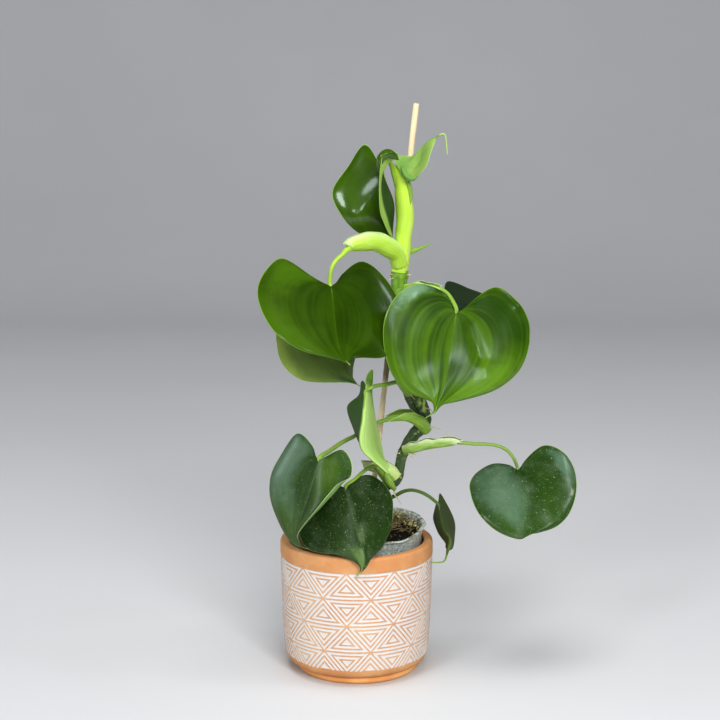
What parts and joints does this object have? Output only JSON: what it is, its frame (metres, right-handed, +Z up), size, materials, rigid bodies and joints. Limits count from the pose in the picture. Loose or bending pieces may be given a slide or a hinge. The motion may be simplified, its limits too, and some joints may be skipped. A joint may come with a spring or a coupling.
{
  "type": "potted philodendron",
  "caption": "Young climbing heart-leaf houseplant on a bamboo stake, in a thin plastic cup set inside a patterned terracotta pot on a low saucer.",
  "frame": {"origin": "centre of the pot's axis on the surface that the saucer stands on", "axes": "+Z up along the pot's axis, -Y toward the viewer of the picture, +X to their right"},
  "size_m": [0.225, 0.1294, 0.4037],
  "materials": {
    "saucer_clay": "rough unglazed terracotta, a little darker than the pot",
    "pot_clay": "matt orange terracotta with a worn white wash in a pattern of nested triangles",
    "frosted_plastic": "thin frosted grey plastic",
    "potting_mix": null,
    "bamboo": "pale split bamboo with a dark stain",
    "stem_green": null,
    "leaf_bright": "glossy mid green leaf with light and dark veins along it",
    "leaf_back": "satin underside of a leaf with a pale midrib",
    "leaf_old": "darker older leaf, dusty, with fine scratches",
    "leaf_young": "matt pale grey-green young leaf"
  },
  "bodies": {
    "root": {"saucer": "saucer_clay", "pot": "pot_clay", "nursery_pot": "frosted_plastic", "soil": "potting_mix", "stake": "bamboo", "stem": "stem_green", "leaf_left_broad": "leaf_bright", "leaf_right_broad": "leaf_bright", "leaf_under": "leaf_back", "leaf_behind": "leaf_back", "leaf_top_folded": "leaf_bright", "leaf_hanging": "leaf_back", "leaf_low_left": "leaf_old", "leaf_low_front": "leaf_old", "leaf_low_right": "leaf_old", "leaf_small_right": "leaf_old", "leaf_unfurling": "leaf_young"}
  },
  "joints": []
}
